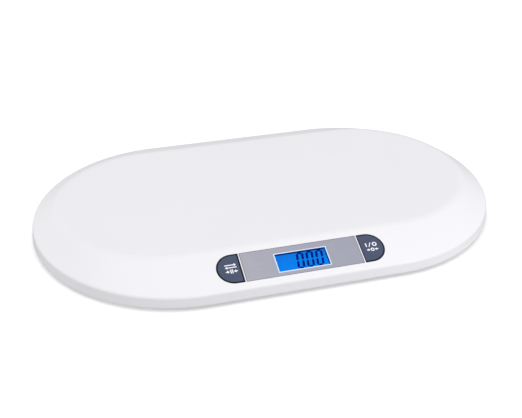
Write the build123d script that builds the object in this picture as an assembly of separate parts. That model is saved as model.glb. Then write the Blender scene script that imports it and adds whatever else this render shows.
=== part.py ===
from build123d import *
import os
from math import atan2, cos, hypot, radians, sin, tan

# Oval platform scale. +X is to the user's right, -Y is the front with the display, +Z is up.
# The origin is on the floor, under the middle of the outline. All sizes are in millimetres.

# ---- outer shape ----
LENGTH = 555.0              # skirt foot, along X
WIDTH = 337.0               # skirt foot, along Y
HEIGHT = 35.5               # floor to platform
SKIRT_FOOT_Z = 5.0
SKIRT_TOP_Z = 16.7
SKIRT_DRAFT = 1.34          # the skirt leans in by this much over its height
PLATFORM_LENGTH = 496.8
PLATFORM_FRONT = 115.7      # origin to the platform's front edge
PLATFORM_BACK = 121.4       # origin to the platform's back edge
WALL = 2.5
PLATFORM_EDGE_RADIUS = 20.0
SKIRT_EDGE_RADIUS = 3.0

HALF_LENGTH = LENGTH / 2
HALF_WIDTH = WIDTH / 2
PLATFORM_HALF_LENGTH = PLATFORM_LENGTH / 2
PLATFORM_HALF_WIDTH = (PLATFORM_FRONT + PLATFORM_BACK) / 2
PLATFORM_CENTRE_Y = (PLATFORM_BACK - PLATFORM_FRONT) / 2
ARC_CENTRE_X = HALF_LENGTH - HALF_WIDTH

# ---- sloping front face, which carries the display strip ----
SLOPE_RUN = HALF_WIDTH - SKIRT_DRAFT - PLATFORM_FRONT
SLOPE_RISE = HEIGHT - SKIRT_TOP_Z
SLOPE_ANGLE = atan2(SLOPE_RISE, SLOPE_RUN)
STRIP_LENGTH = 191.2
STRIP_HEIGHT = 37.6
STRIP_FROM_EDGE = 27.3      # platform edge to the strip's middle, down the slope
STRIP_PLANE = Plane(
    origin=(
        0,
        -PLATFORM_FRONT - STRIP_FROM_EDGE * cos(SLOPE_ANGLE),
        HEIGHT - STRIP_FROM_EDGE * sin(SLOPE_ANGLE),
    ),
    x_dir=(1, 0, 0),
    z_dir=(0, -sin(SLOPE_ANGLE), cos(SLOPE_ANGLE)),
)

# Depths below the sloping face, measured square to it.
RECESS_DEPTH = 2.2
RECESS_FLOOR = 1.8
FLOOR_UNDERSIDE = -RECESS_DEPTH - RECESS_FLOOR
BOARD_TOP = -7.6
BOARD_THICKNESS = 1.6
BOARD_BACK = BOARD_TOP - BOARD_THICKNESS
BOARD_LENGTH = 180.0
BOARD_HEIGHT = 33.0

DIVIDER_X = 67.4            # thin upright between the fascia and each button
DIVIDER_THICKNESS = 1.2
FASCIA_FIT = 0.1
FASCIA_TOP = -0.15
WINDOW_LENGTH = 58.0
WINDOW_HEIGHT = 23.0
WINDOW_OFFSET = -1.5        # the window sits a little below the strip's middle
WINDOW_LIP = 2.0
WINDOW_THICKNESS = 0.95
LCD_LENGTH = 64.0
LCD_HEIGHT = 30.0
LCD_TOP = -2.4
LCD_THICKNESS = 2.1
LCD_FIT = 0.4

BUTTON_GAP = 0.5
BUTTON_TOP = 0.2
BUTTON_CAP = 1.6
BUTTON_TRAVEL = 0.5
SWITCH_X = 82.0
SWITCH_SIZE = 6.0
SWITCH_HEIGHT = 3.4
STEM_RADIUS = 2.5
STEM_BOTTOM = -3.3
STEM_HOLE_RADIUS = 3.5
PLUNGER_RADIUS = 1.7
PLUNGER_BOTTOM = -5.2
LEG_X = 77.0
LEG_Y = 12.0
LEG_WIDTH = 3.0
LEG_THICKNESS = 1.4
LEG_BOTTOM = -5.1
HOOK_REACH = 0.8
SLOT_FIT = 0.4

# ---- base cover ----
BASE_INSET = 3.6            # skirt foot to the base cover's edge
BASE_BOTTOM = 3.0
BASE_THICKNESS = 2.5
BASE_TOP = BASE_BOTTOM + BASE_THICKNESS
BASE_RIM_TOP = 11.5
BASE_RIM = 2.2
BASE_EDGE_RADIUS = 1.8
WELL_COLLAR_BOTTOM = 2.1
GROOVE_DEPTH = 0.8
GROOVE_WIDTH = 3.0
GROOVE_HALF_WIDTH = 88.0
LABEL_RECESS = (104.0, 52.0, 0.5)
LABEL_Y = 42.0

# ---- feet and load cells ----
FOOT_X = 185.0
FOOT_Y = 95.0
CORNERS = {
    "front_left": (-FOOT_X, -FOOT_Y),
    "front_right": (FOOT_X, -FOOT_Y),
    "back_left": (-FOOT_X, FOOT_Y),
    "back_right": (FOOT_X, FOOT_Y),
}
WELL_RADIUS = 23.0
WELL_WALL = 2.5
WELL_CEILING = 11.5
WELL_CEILING_THICKNESS = 2.2
CELL_SIZE = 32.0
CELL_THICKNESS = 2.4
CELL_BOTTOM = WELL_CEILING - CELL_THICKNESS
RETAINER_THICKNESS = 2.0
FOOT_RADIUS = 21.0
FOOT_BOTTOM = 1.2
FOOT_TOP = 4.5
PAD_RADIUS = 17.8
PAD_TOP = 2.4
LEAD_NOTCH = 5.0
CELL_SLOT = 21.0
CELL_TONGUE = 17.0
CELL_NECK_WIDTH = 8.0
CELL_WINDOW_RADIUS = 11.0   # opening above each cell's tongue
RETAINER_BORE = 12.0
FOOT_POST_RADIUS = 5.0
PAD_GROOVE_RADII = (7.0, 10.5, 14.0)
PAD_GROOVE_WIDTH = 1.2
PAD_GROOVE_DEPTH = 0.5

# ---- batteries ----
BATTERY_RADIUS = 5.25
BATTERY_LENGTH = 44.5
BATTERY_NUB = 1.0
BATTERY_PITCH = 11.2
BATTERY_COUNT = 4
BATTERY_Z = 10.9
BOX_CENTRE_Y = -30.0
BOX_LENGTH = 52.0
BOX_WIDTH = 46.4
BOX_WALL = 2.0
BOX_CEILING = 16.9
PLATE_THICKNESS = 0.6
CONTACT_GAP = 0.1           # box wall to the back of a contact
SPRING_WIRE = 0.3
SPRING_RADIUS = 2.8
SPRING_TURNS = 4
BATTERY_SHIFT = BOX_LENGTH / 2 - CONTACT_GAP - PLATE_THICKNESS - BATTERY_LENGTH / 2

DOOR_FIT = 0.3
DOOR_THICKNESS = 1.8
DOOR_LENGTH = BOX_LENGTH
DOOR_WIDTH = BOX_WIDTH + 2 * BOX_WALL
DOOR_BACK_Y = BOX_CENTRE_Y + DOOR_WIDTH / 2
DOOR_FRONT_Y = BOX_CENTRE_Y - DOOR_WIDTH / 2
HOOK_X = 16.0
HOOK_WIDTH = 7.0
HOOK_LENGTH = 2.6
HOOK_THICKNESS = 1.2
HOOK_RISER = 1.6
LATCH_WIDTH = 14.0
LATCH_THICKNESS = 1.2
LATCH_TOP = 7.5
THUMB_RADIUS = 10.0
THUMB_DEPTH = 1.2
GRIP_COUNT = 4
GRIP_LENGTH = 18.0
GRIP_WIDTH = 1.0
GRIP_DEPTH = 0.5
GRIP_PITCH = 2.4
GRIP_FROM_EDGE = 6.0

# ---- screws ----
SCREW_RADIUS = 1.45
SCREW_FIT = 0.05
SCREW_HEAD_RADIUS = 3.0
SCREW_HEAD_HEIGHT = 2.2
SCREW_SEAT_Z = 7.0
SCREW_TIP_Z = 17.5
CROSS_LENGTH = 3.4
CROSS_WIDTH = 0.7
CROSS_DEPTH = 1.2
BOSS_FOOT_Z = 9.5
BOSS_RADIUS = 4.2
SEAT_RADIUS = 5.6
SCREW_ARC_RADIUS = 152.0
END_SCREW_ANGLES = (-62.0, -25.0, 25.0, 62.0)
SIDE_SCREWS = [(-118.0, -150.0), (118.0, -150.0), (-100.0, 150.0), (0.0, 150.0), (100.0, 150.0)]
BOARD_SCREW_X = 50.0
BOARD_SCREW_Y = 12.0
BOARD_SCREW_RADIUS = 1.0

# ---- stiffening ribs under the platform ----
RIB_THICKNESS = 1.8
RIB_BOTTOM_Z = 25.0
RIB_PITCH_X = 52.0
RIB_PITCH_Y = 46.0
BASE_RIB_TOP = BASE_TOP + 5.0

# ---- leads ----
LEAD_RADIUS = 1.1
LEAD_FLOOR_Z = BASE_TOP + 1.7
LEAD_BEND = 0.45            # share of the shorter run that each bend takes up
CLIP_SPREAD = 2.4
CLIP_RADIUS = 1.0
CLIP_TOP = BASE_TOP + 4.5
SOCKET_SPACING = 14.0
SOCKET_Y = 7.0
SOCKET_SIZE = (9.0, 6.0, 4.5)
SOCKET_COUNT = 5


def oval(half_length, half_width, z, centre_y=0.0):
    """Flat oval face with two half-round ends."""
    return Pos(0, centre_y, z) * SlotOverall(2 * half_length, 2 * half_width)


def block(length, width, bottom, top, x=0.0, y=0.0):
    """Box between two heights, centred on x and y."""
    return Pos(x, y, (bottom + top) / 2) * Box(length, width, top - bottom)


def disc(radius, bottom, top, x=0.0, y=0.0):
    """Upright cylinder between two heights."""
    return Pos(x, y, (bottom + top) / 2) * Cylinder(radius, top - bottom)


def prism(face, bottom, top):
    """Flat face at height 0, pulled up between two heights."""
    return Pos(0, 0, bottom) * extrude(face, top - bottom)


def shell_form(inset, bottom, shoulder, top, platform_inset):
    """Skirt and sloping band as one solid, drawn in from the outer surface."""
    foot = oval(HALF_LENGTH - inset, HALF_WIDTH - inset, bottom)
    side = inset + SKIRT_DRAFT
    edge = oval(HALF_LENGTH - side, HALF_WIDTH - side, shoulder)
    roof = oval(
        PLATFORM_HALF_LENGTH - platform_inset,
        PLATFORM_HALF_WIDTH - platform_inset,
        top,
        PLATFORM_CENTRE_Y,
    )
    skirt = loft([foot, edge], ruled=True)
    band = loft([edge, roof], ruled=True)
    return skirt + band


def outer_form():
    """Outside of the top cover, with its two edges rounded."""
    form = shell_form(0, SKIRT_FOOT_Z, SKIRT_TOP_Z, HEIGHT, 0)
    roof_edges = form.edges().filter_by_position(Axis.Z, HEIGHT - 0.01, HEIGHT + 0.01)
    form = fillet(roof_edges, PLATFORM_EDGE_RADIUS)
    skirt_edges = form.edges().filter_by_position(Axis.Z, SKIRT_TOP_Z - 0.01, SKIRT_TOP_Z + 0.01)
    return fillet(skirt_edges, SKIRT_EDGE_RADIUS)


def inner_form():
    """Hollow inside the top cover."""
    return shell_form(WALL, SKIRT_FOOT_Z, SKIRT_TOP_Z - 1.7, HEIGHT - WALL, 0.6)


def liner_form():
    """Half-way surface of the wall, where ribs and bosses end out of sight."""
    return shell_form(WALL / 2, SKIRT_FOOT_Z, SKIRT_TOP_Z - 0.9, HEIGHT - WALL / 2, 0.3)


def screw_places():
    """Middles of the screws that join the two covers."""
    places = list(SIDE_SCREWS)
    for side in (-1, 1):
        for angle in END_SCREW_ANGLES:
            x = side * (ARC_CENTRE_X + SCREW_ARC_RADIUS * cos(radians(angle)))
            places.append((x, SCREW_ARC_RADIUS * sin(radians(angle))))
    return places


def platform_ribs():
    """Crossed ribs that carry the platform."""
    field = prism(oval(PLATFORM_HALF_LENGTH - 8, PLATFORM_HALF_WIDTH - 6, 0, PLATFORM_CENTRE_Y), 0, HEIGHT)
    ribs = []
    for step in range(-4, 5):
        ribs.append(block(RIB_THICKNESS, WIDTH, RIB_BOTTOM_Z, HEIGHT, x=step * RIB_PITCH_X))
    for step in range(-2, 3):
        y = PLATFORM_CENTRE_Y + step * RIB_PITCH_Y
        ribs.append(block(LENGTH, RIB_THICKNESS, RIB_BOTTOM_Z, HEIGHT, y=y))
    return Part() + ribs & field


def cell_posts():
    """Rings that pass the platform's load to the four load cell wells."""
    top_z = WELL_CEILING + WELL_CEILING_THICKNESS
    rings = []
    for x, y in CORNERS.values():
        ring = disc(WELL_RADIUS + WELL_WALL, top_z, HEIGHT, x, y)
        rings.append(ring - disc(WELL_RADIUS, top_z, HEIGHT, x, y))
    return rings


def strip_shape(grow):
    """Oval outline of the display strip, larger by grow all round."""
    return SlotOverall(STRIP_LENGTH + 2 * grow, STRIP_HEIGHT + 2 * grow)


def board_posts():
    """Posts under the strip that the main board is screwed to."""
    posts = []
    for x in (-BOARD_SCREW_X, BOARD_SCREW_X):
        for y in (-BOARD_SCREW_Y, BOARD_SCREW_Y):
            post = disc(2.6, BOARD_TOP, FLOOR_UNDERSIDE + 0.5, x, y)
            posts.append(post - disc(BOARD_SCREW_RADIUS + SCREW_FIT, BOARD_TOP, FLOOR_UNDERSIDE, x, y))
    return posts


def strip_holes():
    """Openings in the strip's floor for the display, button stems and button legs."""
    low = FLOOR_UNDERSIDE - 0.2
    high = -RECESS_DEPTH + 0.2
    holes = [block(LCD_LENGTH + 2 * LCD_FIT, LCD_HEIGHT + 2 * LCD_FIT, low, high)]
    for side in (-1, 1):
        holes.append(disc(STEM_HOLE_RADIUS, low, high, side * SWITCH_X))
        for y in (-LEG_Y, LEG_Y):
            slot_width = LEG_THICKNESS + HOOK_REACH + 2 * SLOT_FIT
            slot_x = side * (LEG_X + HOOK_REACH / 2)
            holes.append(block(slot_width, LEG_WIDTH + 2 * SLOT_FIT, low, high, slot_x, y))
    return holes


def strip_dividers():
    """Thin uprights between the fascia and the buttons."""
    height = STRIP_HEIGHT + 1
    dividers = []
    for x in (-DIVIDER_X, DIVIDER_X):
        dividers.append(block(DIVIDER_THICKNESS, height, -RECESS_DEPTH - 0.5, FASCIA_TOP, x))
    return dividers


def top_cover():
    """White shell with platform, sloping band, skirt, and the seat of the display strip."""
    liner = liner_form()
    cover = outer_form() - inner_form()
    inside = platform_ribs() + cell_posts()
    for x, y in screw_places():
        boss = disc(BOSS_RADIUS, BOSS_FOOT_Z, HEIGHT, x, y)
        inside += boss
    cover += inside & liner
    for x, y in screw_places():
        cover -= disc(SCREW_RADIUS + SCREW_FIT, BOSS_FOOT_Z - 1, SCREW_TIP_Z + 0.5, x, y)
    seat = prism(strip_shape(2.5), FLOOR_UNDERSIDE, -WALL / 2)
    cover += STRIP_PLANE * seat
    cover -= STRIP_PLANE * prism(strip_shape(0), -RECESS_DEPTH, 3)
    cover += [STRIP_PLANE * piece for piece in strip_dividers() + board_posts()]
    return cover - [STRIP_PLANE * hole for hole in strip_holes()]


def display_fascia():
    """Silver-grey panel in the middle of the strip, with a step behind for the window."""
    length = 2 * (DIVIDER_X - DIVIDER_THICKNESS / 2 - FASCIA_FIT)
    bottom = -RECESS_DEPTH + FASCIA_FIT
    panel = block(length, STRIP_HEIGHT - 2 * FASCIA_FIT, bottom, FASCIA_TOP)
    panel = chamfer(panel.edges().filter_by_position(Axis.Z, FASCIA_TOP - 0.01, FASCIA_TOP + 0.01), 0.3)
    opening = block(WINDOW_LENGTH, WINDOW_HEIGHT, bottom - 1, 1, y=WINDOW_OFFSET)
    rebate_length = WINDOW_LENGTH + 2 * WINDOW_LIP + 0.2
    rebate_height = WINDOW_HEIGHT + 2 * WINDOW_LIP + 0.2
    rebate = block(rebate_length, rebate_height, bottom - 1, bottom + WINDOW_THICKNESS, y=WINDOW_OFFSET)
    return STRIP_PLANE * (panel - opening - rebate)


def display_window():
    """Clear pane in the step behind the fascia."""
    bottom = -RECESS_DEPTH + FASCIA_FIT
    pane = block(
        WINDOW_LENGTH + 2 * WINDOW_LIP,
        WINDOW_HEIGHT + 2 * WINDOW_LIP,
        bottom,
        bottom + WINDOW_THICKNESS,
        y=WINDOW_OFFSET,
    )
    return STRIP_PLANE * pane


def lcd_panel():
    """Two bonded sheets of glass: the front one is shorter and leaves the contact edge free."""
    middle = LCD_TOP - LCD_THICKNESS / 2
    rear = block(LCD_LENGTH, LCD_HEIGHT, LCD_TOP - LCD_THICKNESS, middle)
    front = block(LCD_LENGTH, LCD_HEIGHT - 4, middle, LCD_TOP, y=-2)
    return STRIP_PLANE * (rear + front)


def lcd_frame():
    """White frame that locates the glass and the backlight on the board."""
    frame = block(72, BOARD_HEIGHT, BOARD_TOP, FLOOR_UNDERSIDE)
    return STRIP_PLANE * (frame - block(LCD_LENGTH + 0.6, LCD_HEIGHT + 0.6, BOARD_TOP - 1, 0))


def lcd_backlight():
    """Light guide block behind the glass."""
    guide = block(60, 25, BOARD_TOP, LCD_TOP - LCD_THICKNESS, y=WINDOW_OFFSET)
    return STRIP_PLANE * guide


def zebra_connector():
    """Striped rubber bar that joins the glass's contact edge to the board."""
    bar = block(52, 2.2, BOARD_TOP, LCD_TOP - LCD_THICKNESS, y=13)
    return STRIP_PLANE * bar


def main_board():
    """Circuit board behind the whole strip."""
    board = RectangleRounded(BOARD_LENGTH, BOARD_HEIGHT, 6)
    board = prism(board, BOARD_BACK, BOARD_TOP)
    for x in (-BOARD_SCREW_X, BOARD_SCREW_X):
        for y in (-BOARD_SCREW_Y, BOARD_SCREW_Y):
            board -= disc(BOARD_SCREW_RADIUS + SCREW_FIT, BOARD_BACK - 1, BOARD_TOP + 1, x, y)
    return STRIP_PLANE * board


def board_screws():
    """Four pan-head screws through the board."""
    screws = []
    for x in (-BOARD_SCREW_X, BOARD_SCREW_X):
        for y in (-BOARD_SCREW_Y, BOARD_SCREW_Y):
            head = disc(2.0, BOARD_BACK - 1.4, BOARD_BACK, x, y)
            shank = disc(BOARD_SCREW_RADIUS, BOARD_BACK, FLOOR_UNDERSIDE - 0.6, x, y)
            cross = block(2.4, 0.5, BOARD_BACK - 2, BOARD_BACK - 0.8, x, y)
            cross += block(0.5, 2.4, BOARD_BACK - 2, BOARD_BACK - 0.8, x, y)
            screws.append(STRIP_PLANE * (head + shank - cross))
    return Compound(children=screws)


def processor_chip():
    """Potted chip: a low dome of black resin on the back of the board."""
    ball = Pos(0, -8, BOARD_BACK + 9) * Sphere(11)
    return STRIP_PLANE * (ball & block(30, 30, BOARD_BACK - 5, BOARD_BACK, y=-8))


def board_components():
    """Small parts on the back of the board."""
    parts = [block(5, 4, BOARD_BACK - 1.6, BOARD_BACK, -24, -9)]
    parts.append(disc(3, BOARD_BACK - 5, BOARD_BACK, 30, -9))
    parts.append(disc(3, BOARD_BACK - 5, BOARD_BACK, 38, -9))
    for step in range(6):
        parts.append(block(2, 1.2, BOARD_BACK - 0.7, BOARD_BACK, -70 + 5 * step, -6))
        parts.append(block(2, 1.2, BOARD_BACK - 0.7, BOARD_BACK, 58 + 5 * step, -6))
    return Compound(children=[STRIP_PLANE * piece for piece in parts])


def socket_x(index):
    """Place of one lead socket along the board."""
    return (index - (SOCKET_COUNT - 1) / 2) * SOCKET_SPACING


def lead_sockets():
    """Plug sockets for the four load cell leads and the battery lead."""
    length, width, height = SOCKET_SIZE
    sockets = []
    for index in range(SOCKET_COUNT):
        body = block(length, width, BOARD_BACK - height, BOARD_BACK, socket_x(index), SOCKET_Y)
        edges = body.edges().filter_by(Axis.Z)
        sockets.append(STRIP_PLANE * fillet(edges, 0.6))
    return Compound(children=sockets)


def button(side):
    """Key cap with a round outer end, a centre stem and two hooked legs. side is -1 or 1."""
    bottom = BUTTON_TOP - BUTTON_CAP
    inner_x = DIVIDER_X + DIVIDER_THICKNESS / 2 + BUTTON_GAP
    cap = prism(strip_shape(-BUTTON_GAP), bottom, BUTTON_TOP)
    cap &= block(60, 60, bottom, BUTTON_TOP, x=inner_x + 30)
    cap = fillet(cap.edges().filter_by_position(Axis.Z, BUTTON_TOP - 0.01, BUTTON_TOP + 0.01), 0.6)
    cap += disc(STEM_RADIUS, STEM_BOTTOM, bottom, SWITCH_X)
    for y in (-LEG_Y, LEG_Y):
        cap += block(LEG_THICKNESS, LEG_WIDTH, LEG_BOTTOM, bottom, LEG_X, y)
        hook_x = LEG_X + (LEG_THICKNESS + HOOK_REACH) / 2
        cap += block(HOOK_REACH, LEG_WIDTH, LEG_BOTTOM, FLOOR_UNDERSIDE - 0.1, hook_x, y)
    if side < 0:
        cap = mirror(cap, about=Plane.YZ)
    return STRIP_PLANE * cap


def switch(side):
    """Push switch on the board under a button."""
    top = BOARD_TOP + SWITCH_HEIGHT
    body = block(SWITCH_SIZE, SWITCH_SIZE, BOARD_TOP, top, side * SWITCH_X)
    bore = disc(PLUNGER_RADIUS + 0.1, PLUNGER_BOTTOM - BUTTON_TRAVEL - 0.3, top + 1, side * SWITCH_X)
    return STRIP_PLANE * (body - bore)


def switch_plunger(side):
    """Round plunger that the button's stem presses."""
    return STRIP_PLANE * disc(PLUNGER_RADIUS, PLUNGER_BOTTOM, STEM_BOTTOM, side * SWITCH_X)


def notch_side(x):
    """Direction from a well towards the middle of the scale."""
    return -1 if x > 0 else 1


def load_cell_wells():
    """Turrets that hold the load cells, each with a notch for its lead."""
    wells = []
    top = WELL_CEILING + WELL_CEILING_THICKNESS
    for x, y in CORNERS.values():
        well = disc(WELL_RADIUS + WELL_WALL, BASE_TOP - 0.5, top, x, y)
        well -= disc(CELL_WINDOW_RADIUS, WELL_CEILING - 1, top + 1, x, y)
        notch_x = x + notch_side(x) * WELL_RADIUS
        well -= block(12, LEAD_NOTCH, CELL_BOTTOM - 0.4, WELL_CEILING, notch_x, y)
        wells.append(well)
    return wells


def clip_posts(route, run):
    """Two small posts, one each side of the middle of one run of a lead's route."""
    start = route[run]
    end = route[run + 1]
    length = hypot(end[0] - start[0], end[1] - start[1])
    across_x = -(end[1] - start[1]) / length * CLIP_SPREAD
    across_y = (end[0] - start[0]) / length * CLIP_SPREAD
    x = (start[0] + end[0]) / 2
    y = (start[1] + end[1]) / 2
    posts = []
    for side in (-1, 1):
        posts.append(disc(CLIP_RADIUS, BASE_TOP - 0.5, CLIP_TOP, x + side * across_x, y + side * across_y))
    return posts


def lead_clips():
    """Posts that keep the leads in place on the base."""
    clips = []
    for side in (-1, 1):
        clips += clip_posts(front_cell_route(side), 2)
        clips += clip_posts(back_cell_route(side), 2)
        clips += clip_posts(back_cell_route(side), 4)
    return clips


def base_ribs():
    """Low ribs on the inside of the base, clear of wells, battery box and leads."""
    foot = BASE_TOP - 0.5
    ribs = [block(330, RIB_THICKNESS, foot, BASE_RIB_TOP, y=128)]
    for y in (60.0, 90.0):
        ribs.append(block(190, RIB_THICKNESS, foot, BASE_RIB_TOP, y=y))
    for x in (-235.0, 235.0):
        ribs.append(block(RIB_THICKNESS, 110, foot, BASE_RIB_TOP, x=x))
    return ribs


def battery_box():
    """Walls and ceiling of the battery compartment, before it is hollowed."""
    length = BOX_LENGTH + 2 * BOX_WALL
    width = BOX_WIDTH + 2 * BOX_WALL
    return block(length, width, BASE_TOP - 0.5, BOX_CEILING + BOX_WALL, y=BOX_CENTRE_Y)


def battery_hollow():
    """Space for the batteries, the door, its hooks and latch, and a thumb."""
    spaces = [block(BOX_LENGTH, BOX_WIDTH, BASE_TOP, BOX_CEILING, y=BOX_CENTRE_Y)]
    spaces.append(block(DOOR_LENGTH, DOOR_WIDTH, BASE_BOTTOM - 1, BASE_TOP + 1, y=BOX_CENTRE_Y))
    pocket = HOOK_LENGTH + BOX_WALL + 1.5
    for x in (-HOOK_X, HOOK_X):
        pocket_y = DOOR_BACK_Y + HOOK_LENGTH + 1.5 - pocket / 2
        spaces.append(block(HOOK_WIDTH + 1.6, pocket, BASE_TOP, BASE_TOP + 5, x, pocket_y))
    latch_y = DOOR_FRONT_Y + BOX_WALL / 2
    spaces.append(block(LATCH_WIDTH + 1.6, BOX_WALL, BASE_TOP, LATCH_TOP + 1, y=latch_y))
    spaces.append(disc(THUMB_RADIUS, BASE_BOTTOM - 1, BASE_BOTTOM + THUMB_DEPTH, y=DOOR_FRONT_Y))
    return spaces


def underside_relief():
    """Shallow oval groove and blank label recess in the base's underside."""
    outer = oval(ARC_CENTRE_X + GROOVE_HALF_WIDTH, GROOVE_HALF_WIDTH, 0)
    inner_half_width = GROOVE_HALF_WIDTH - GROOVE_WIDTH
    inner = oval(ARC_CENTRE_X + inner_half_width, inner_half_width, 0)
    groove = prism(outer - inner, BASE_BOTTOM - 1, BASE_BOTTOM + GROOVE_DEPTH)
    length, width, depth = LABEL_RECESS
    label = prism(RectangleRounded(length, width, 4), BASE_BOTTOM - 1, BASE_BOTTOM + depth)
    return [groove, Pos(0, LABEL_Y, 0) * label]


def base_cover():
    """Tray that closes the scale from below."""
    length = HALF_LENGTH - BASE_INSET
    width = HALF_WIDTH - BASE_INSET
    base = prism(oval(length, width, 0), BASE_BOTTOM, BASE_RIM_TOP)
    lower_edge = base.edges().filter_by_position(Axis.Z, BASE_BOTTOM - 0.01, BASE_BOTTOM + 0.01)
    base = fillet(lower_edge, BASE_EDGE_RADIUS)
    base -= prism(oval(length - BASE_RIM, width - BASE_RIM, 0), BASE_TOP, BASE_RIM_TOP + 1)
    base -= underside_relief()
    base += load_cell_wells() + lead_clips() + base_ribs() + [battery_box()]
    for x, y in screw_places():
        base += disc(SEAT_RADIUS, BASE_TOP - 0.5, BOSS_FOOT_Z - 0.1, x, y)
    for x, y in screw_places():
        base -= disc(SCREW_HEAD_RADIUS + 0.6, BASE_BOTTOM - 1, SCREW_SEAT_Z, x, y)
        base -= disc(SCREW_RADIUS + 0.25, SCREW_SEAT_Z - 1, BOSS_FOOT_Z + 1, x, y)
    for x, y in CORNERS.values():
        base += disc(WELL_RADIUS + WELL_WALL, WELL_COLLAR_BOTTOM, BASE_TOP, x, y)
        base -= disc(WELL_RADIUS, WELL_COLLAR_BOTTOM - 1, WELL_CEILING, x, y)
    return base - battery_hollow()


def battery_door():
    """Door with two hooks on its back edge and a latch tongue on its front edge."""
    bottom = BASE_BOTTOM + 0.1
    top = bottom + DOOR_THICKNESS
    door = block(DOOR_LENGTH - 2 * DOOR_FIT, DOOR_WIDTH - 2 * DOOR_FIT, bottom, top, y=BOX_CENTRE_Y)
    for step in range(GRIP_COUNT):
        grip_y = DOOR_FRONT_Y + GRIP_FROM_EDGE + GRIP_PITCH * step
        door -= block(GRIP_LENGTH, GRIP_WIDTH, bottom - 1, bottom + GRIP_DEPTH, y=grip_y)
    hook_bottom = BASE_TOP + 0.3
    hook_top = hook_bottom + HOOK_THICKNESS
    back_y = DOOR_BACK_Y - DOOR_FIT
    for x in (-HOOK_X, HOOK_X):
        door += block(HOOK_WIDTH, HOOK_RISER, top - 0.2, hook_top, x, back_y - HOOK_RISER / 2)
        reach = HOOK_LENGTH + HOOK_RISER
        door += block(HOOK_WIDTH, reach, hook_bottom, hook_top, x, back_y - HOOK_RISER + reach / 2)
    latch_y = DOOR_FRONT_Y + DOOR_FIT + LATCH_THICKNESS / 2
    door += block(LATCH_WIDTH, LATCH_THICKNESS, top - 0.2, LATCH_TOP, y=latch_y)
    return door


def battery_place(index):
    """Middle of one battery: its polarity end faces alternate."""
    y = BOX_CENTRE_Y + (index - (BATTERY_COUNT - 1) / 2) * BATTERY_PITCH
    facing = 1 if index % 2 == 0 else -1
    return facing, y


def battery(index):
    """Cylindrical cell with its raised positive end."""
    facing, y = battery_place(index)
    can = Pos(0, 0, -BATTERY_NUB / 2) * Cylinder(BATTERY_RADIUS, BATTERY_LENGTH - BATTERY_NUB)
    can = fillet(can.edges(), 0.6)
    cell = can + Pos(0, 0, BATTERY_LENGTH / 2 - BATTERY_NUB / 2) * Cylinder(1.9, BATTERY_NUB)
    return Pos(facing * BATTERY_SHIFT, y, BATTERY_Z) * Rot(0, 90 * facing, 0) * cell


def battery_plates():
    """Flat contacts at the positive ends."""
    plates = []
    for index in range(BATTERY_COUNT):
        facing, y = battery_place(index)
        x = facing * (BOX_LENGTH / 2 - CONTACT_GAP - PLATE_THICKNESS / 2)
        plates.append(block(PLATE_THICKNESS, 8, BATTERY_Z - 4, BATTERY_Z + 4, x, y))
    return Compound(children=plates)


def battery_springs():
    """Coiled contacts at the negative ends."""
    room = BOX_LENGTH - 2 * CONTACT_GAP - PLATE_THICKNESS - BATTERY_LENGTH
    height = room - 2 * SPRING_WIRE
    springs = []
    for index in range(BATTERY_COUNT):
        facing, y = battery_place(index)
        path = Helix(pitch=height / SPRING_TURNS, height=height, radius=SPRING_RADIUS)
        wire = sweep(Plane(path @ 0, z_dir=path % 0) * Circle(SPRING_WIRE), path=path, is_frenet=True)
        start_x = -facing * (BOX_LENGTH / 2 - CONTACT_GAP - SPRING_WIRE)
        springs.append(Pos(start_x, y, BATTERY_Z) * Rot(0, 90 * facing, 0) * wire)
    return Compound(children=springs)


def load_cell(x, y):
    """Steel strain plate: an outer frame and a middle tongue joined at one side."""
    plate = prism(RectangleRounded(CELL_SIZE, CELL_SIZE, 4), CELL_BOTTOM, WELL_CEILING)
    slot = prism(RectangleRounded(CELL_SLOT, CELL_SLOT, 2), CELL_BOTTOM, WELL_CEILING)
    tongue = prism(RectangleRounded(CELL_TONGUE, CELL_TONGUE, 2), CELL_BOTTOM, WELL_CEILING)
    neck_y = -(CELL_SLOT + CELL_TONGUE) / 4
    neck = block(CELL_NECK_WIDTH, CELL_SLOT - CELL_TONGUE, CELL_BOTTOM, WELL_CEILING, y=neck_y)
    cell = plate - slot + tongue + neck
    return Pos(x, y, 0) * cell


def cell_retainer(x, y):
    """Ring that holds the load cell's frame up against the well's ceiling."""
    ring = disc(WELL_RADIUS - 0.1, CELL_BOTTOM - RETAINER_THICKNESS, CELL_BOTTOM)
    return Pos(x, y, 0) * (ring - disc(RETAINER_BORE, CELL_BOTTOM - 5, CELL_BOTTOM + 1))


def foot(x, y):
    """Round foot with a post that presses on the load cell's tongue."""
    cup = disc(FOOT_RADIUS, FOOT_BOTTOM, FOOT_TOP)
    cup = fillet(cup.edges().filter_by_position(Axis.Z, FOOT_BOTTOM - 0.01, FOOT_BOTTOM + 0.01), 0.8)
    cup -= disc(PAD_RADIUS + 0.1, FOOT_BOTTOM - 1, PAD_TOP)
    cup += disc(FOOT_POST_RADIUS, FOOT_TOP, CELL_BOTTOM)
    return Pos(x, y, 0) * cup


def foot_pad(x, y):
    """Rubber sole with ring grooves."""
    pad = disc(PAD_RADIUS, 0, PAD_TOP)
    pad = fillet(pad.edges().filter_by_position(Axis.Z, -0.01, 0.01), 0.4)
    half_groove = PAD_GROOVE_WIDTH / 2
    for radius in PAD_GROOVE_RADII:
        ring = disc(radius + half_groove, -1, PAD_GROOVE_DEPTH)
        pad -= ring - disc(radius - half_groove, -1, PAD_GROOVE_DEPTH)
    return Pos(x, y, 0) * pad


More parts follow.
